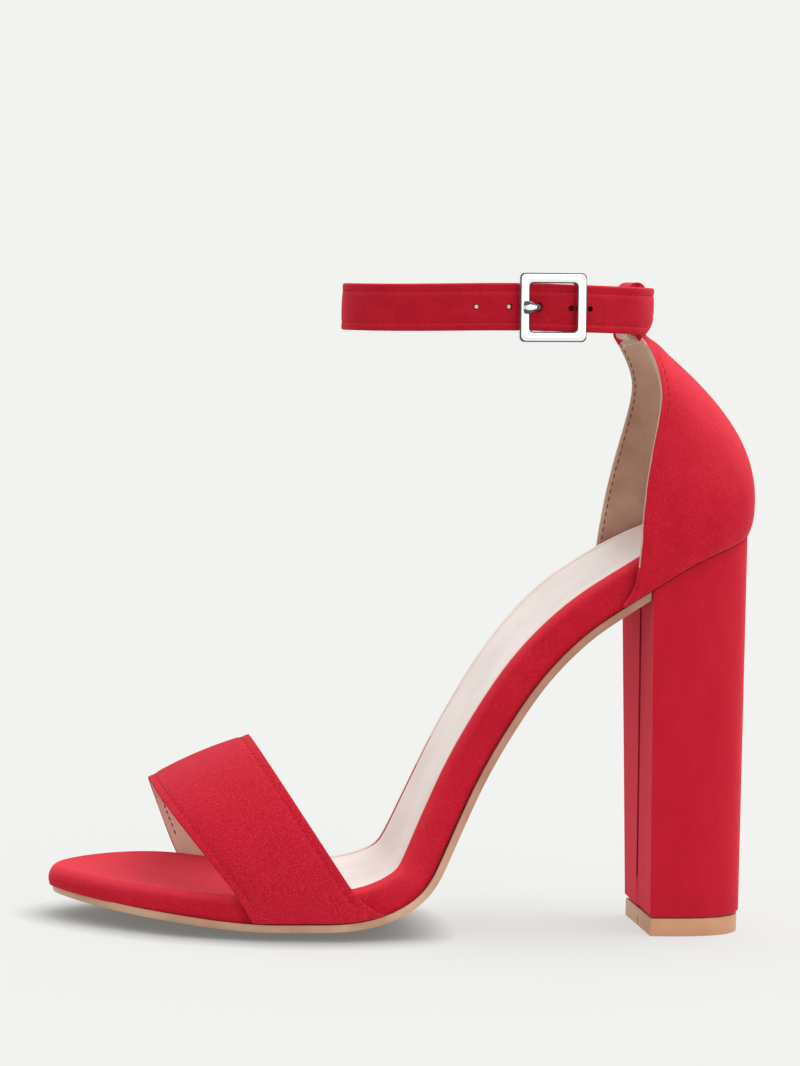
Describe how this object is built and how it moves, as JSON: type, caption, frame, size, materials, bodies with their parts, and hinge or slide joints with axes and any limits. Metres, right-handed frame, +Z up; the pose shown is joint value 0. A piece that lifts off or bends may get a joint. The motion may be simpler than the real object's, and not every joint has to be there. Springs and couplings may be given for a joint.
{
  "type": "ankle strap heel sandal",
  "caption": "Left high-heeled suede sandal with a block heel, an open toe under a wide toe strap, a closed heel counter and a buckled ankle strap.",
  "frame": {"origin": "middle of the heel tip's flat underside, on the floor plane", "axes": "+X along the shoe to the toe, +Y to the outer (lateral) side of this left shoe, +Z up"},
  "size_m": [0.208, 0.0798, 0.1953],
  "materials": {
    "red_suede": "suede with a soft matt nap",
    "tan_sole": "smooth painted edge, satin",
    "heel_tip_rubber": "moulded, satin",
    "pale_sock": "fine-grained lining leather, satin",
    "buckle_metal": "polished"
  },
  "bodies": {
    "root": {"ankle_strap": "red_suede", "buckle_frame": "buckle_metal", "buckle_prong": "buckle_metal", "footbed": "red_suede", "heel_block": "red_suede", "heel_counter": "red_suede", "heel_tip": "heel_tip_rubber", "insole_sock": "pale_sock", "outsole": "tan_sole", "toe_strap": "red_suede"}
  },
  "joints": []
}
